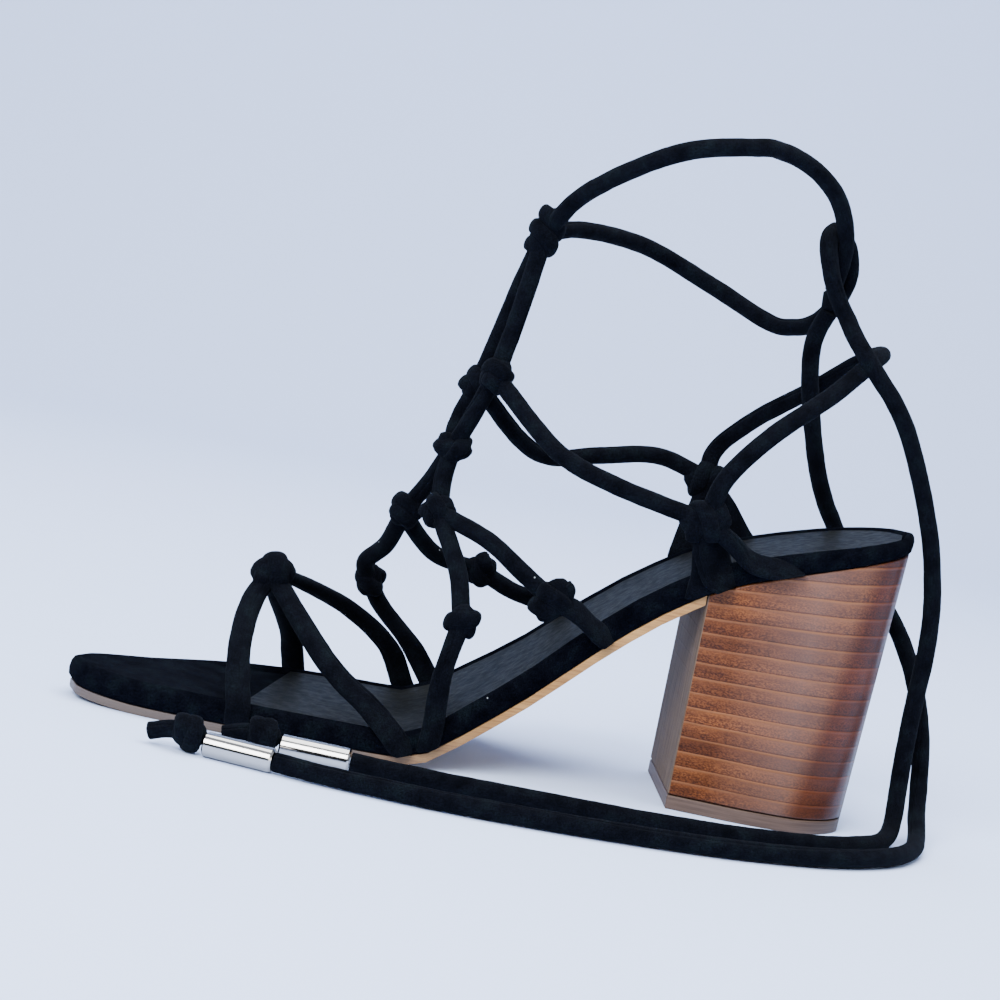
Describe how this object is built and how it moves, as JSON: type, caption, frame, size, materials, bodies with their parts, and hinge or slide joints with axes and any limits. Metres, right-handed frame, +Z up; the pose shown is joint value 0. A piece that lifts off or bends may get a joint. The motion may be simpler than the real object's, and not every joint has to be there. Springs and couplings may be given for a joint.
{
  "type": "heeled sandal",
  "caption": "Right heeled sandal: knotted round-cord straps and long ankle ties over a wrapped footbed, on a tall block heel with a flat tread.",
  "frame": {"origin": "on the floor, under the middle of the sandal's box without its loose ties", "axes": "toe along -X, inner side of the foot along -Y, +Z up"},
  "size_m": [0.2523, 0.1313, 0.1908],
  "materials": {
    "black_suede": "napped suede",
    "grey_leather": "smooth satin",
    "outsole_tan": "matt",
    "stacked_wood": "glossy varnish",
    "lift_rubber": "matt",
    "polished_metal": "polished"
  },
  "bodies": {
    "root": {"outsole": "outsole_tan", "footbed": "black_suede", "insole_sock": "grey_leather", "heel_block": "stacked_wood", "top_lift": "lift_rubber", "toe_strap": "black_suede", "instep_net": "black_suede", "tie_inner": "black_suede", "tie_outer": "black_suede", "barrel_inner": "polished_metal", "barrel_outer": "polished_metal", "end_knot_inner": "black_suede", "end_knot_outer": "black_suede"}
  },
  "joints": []
}
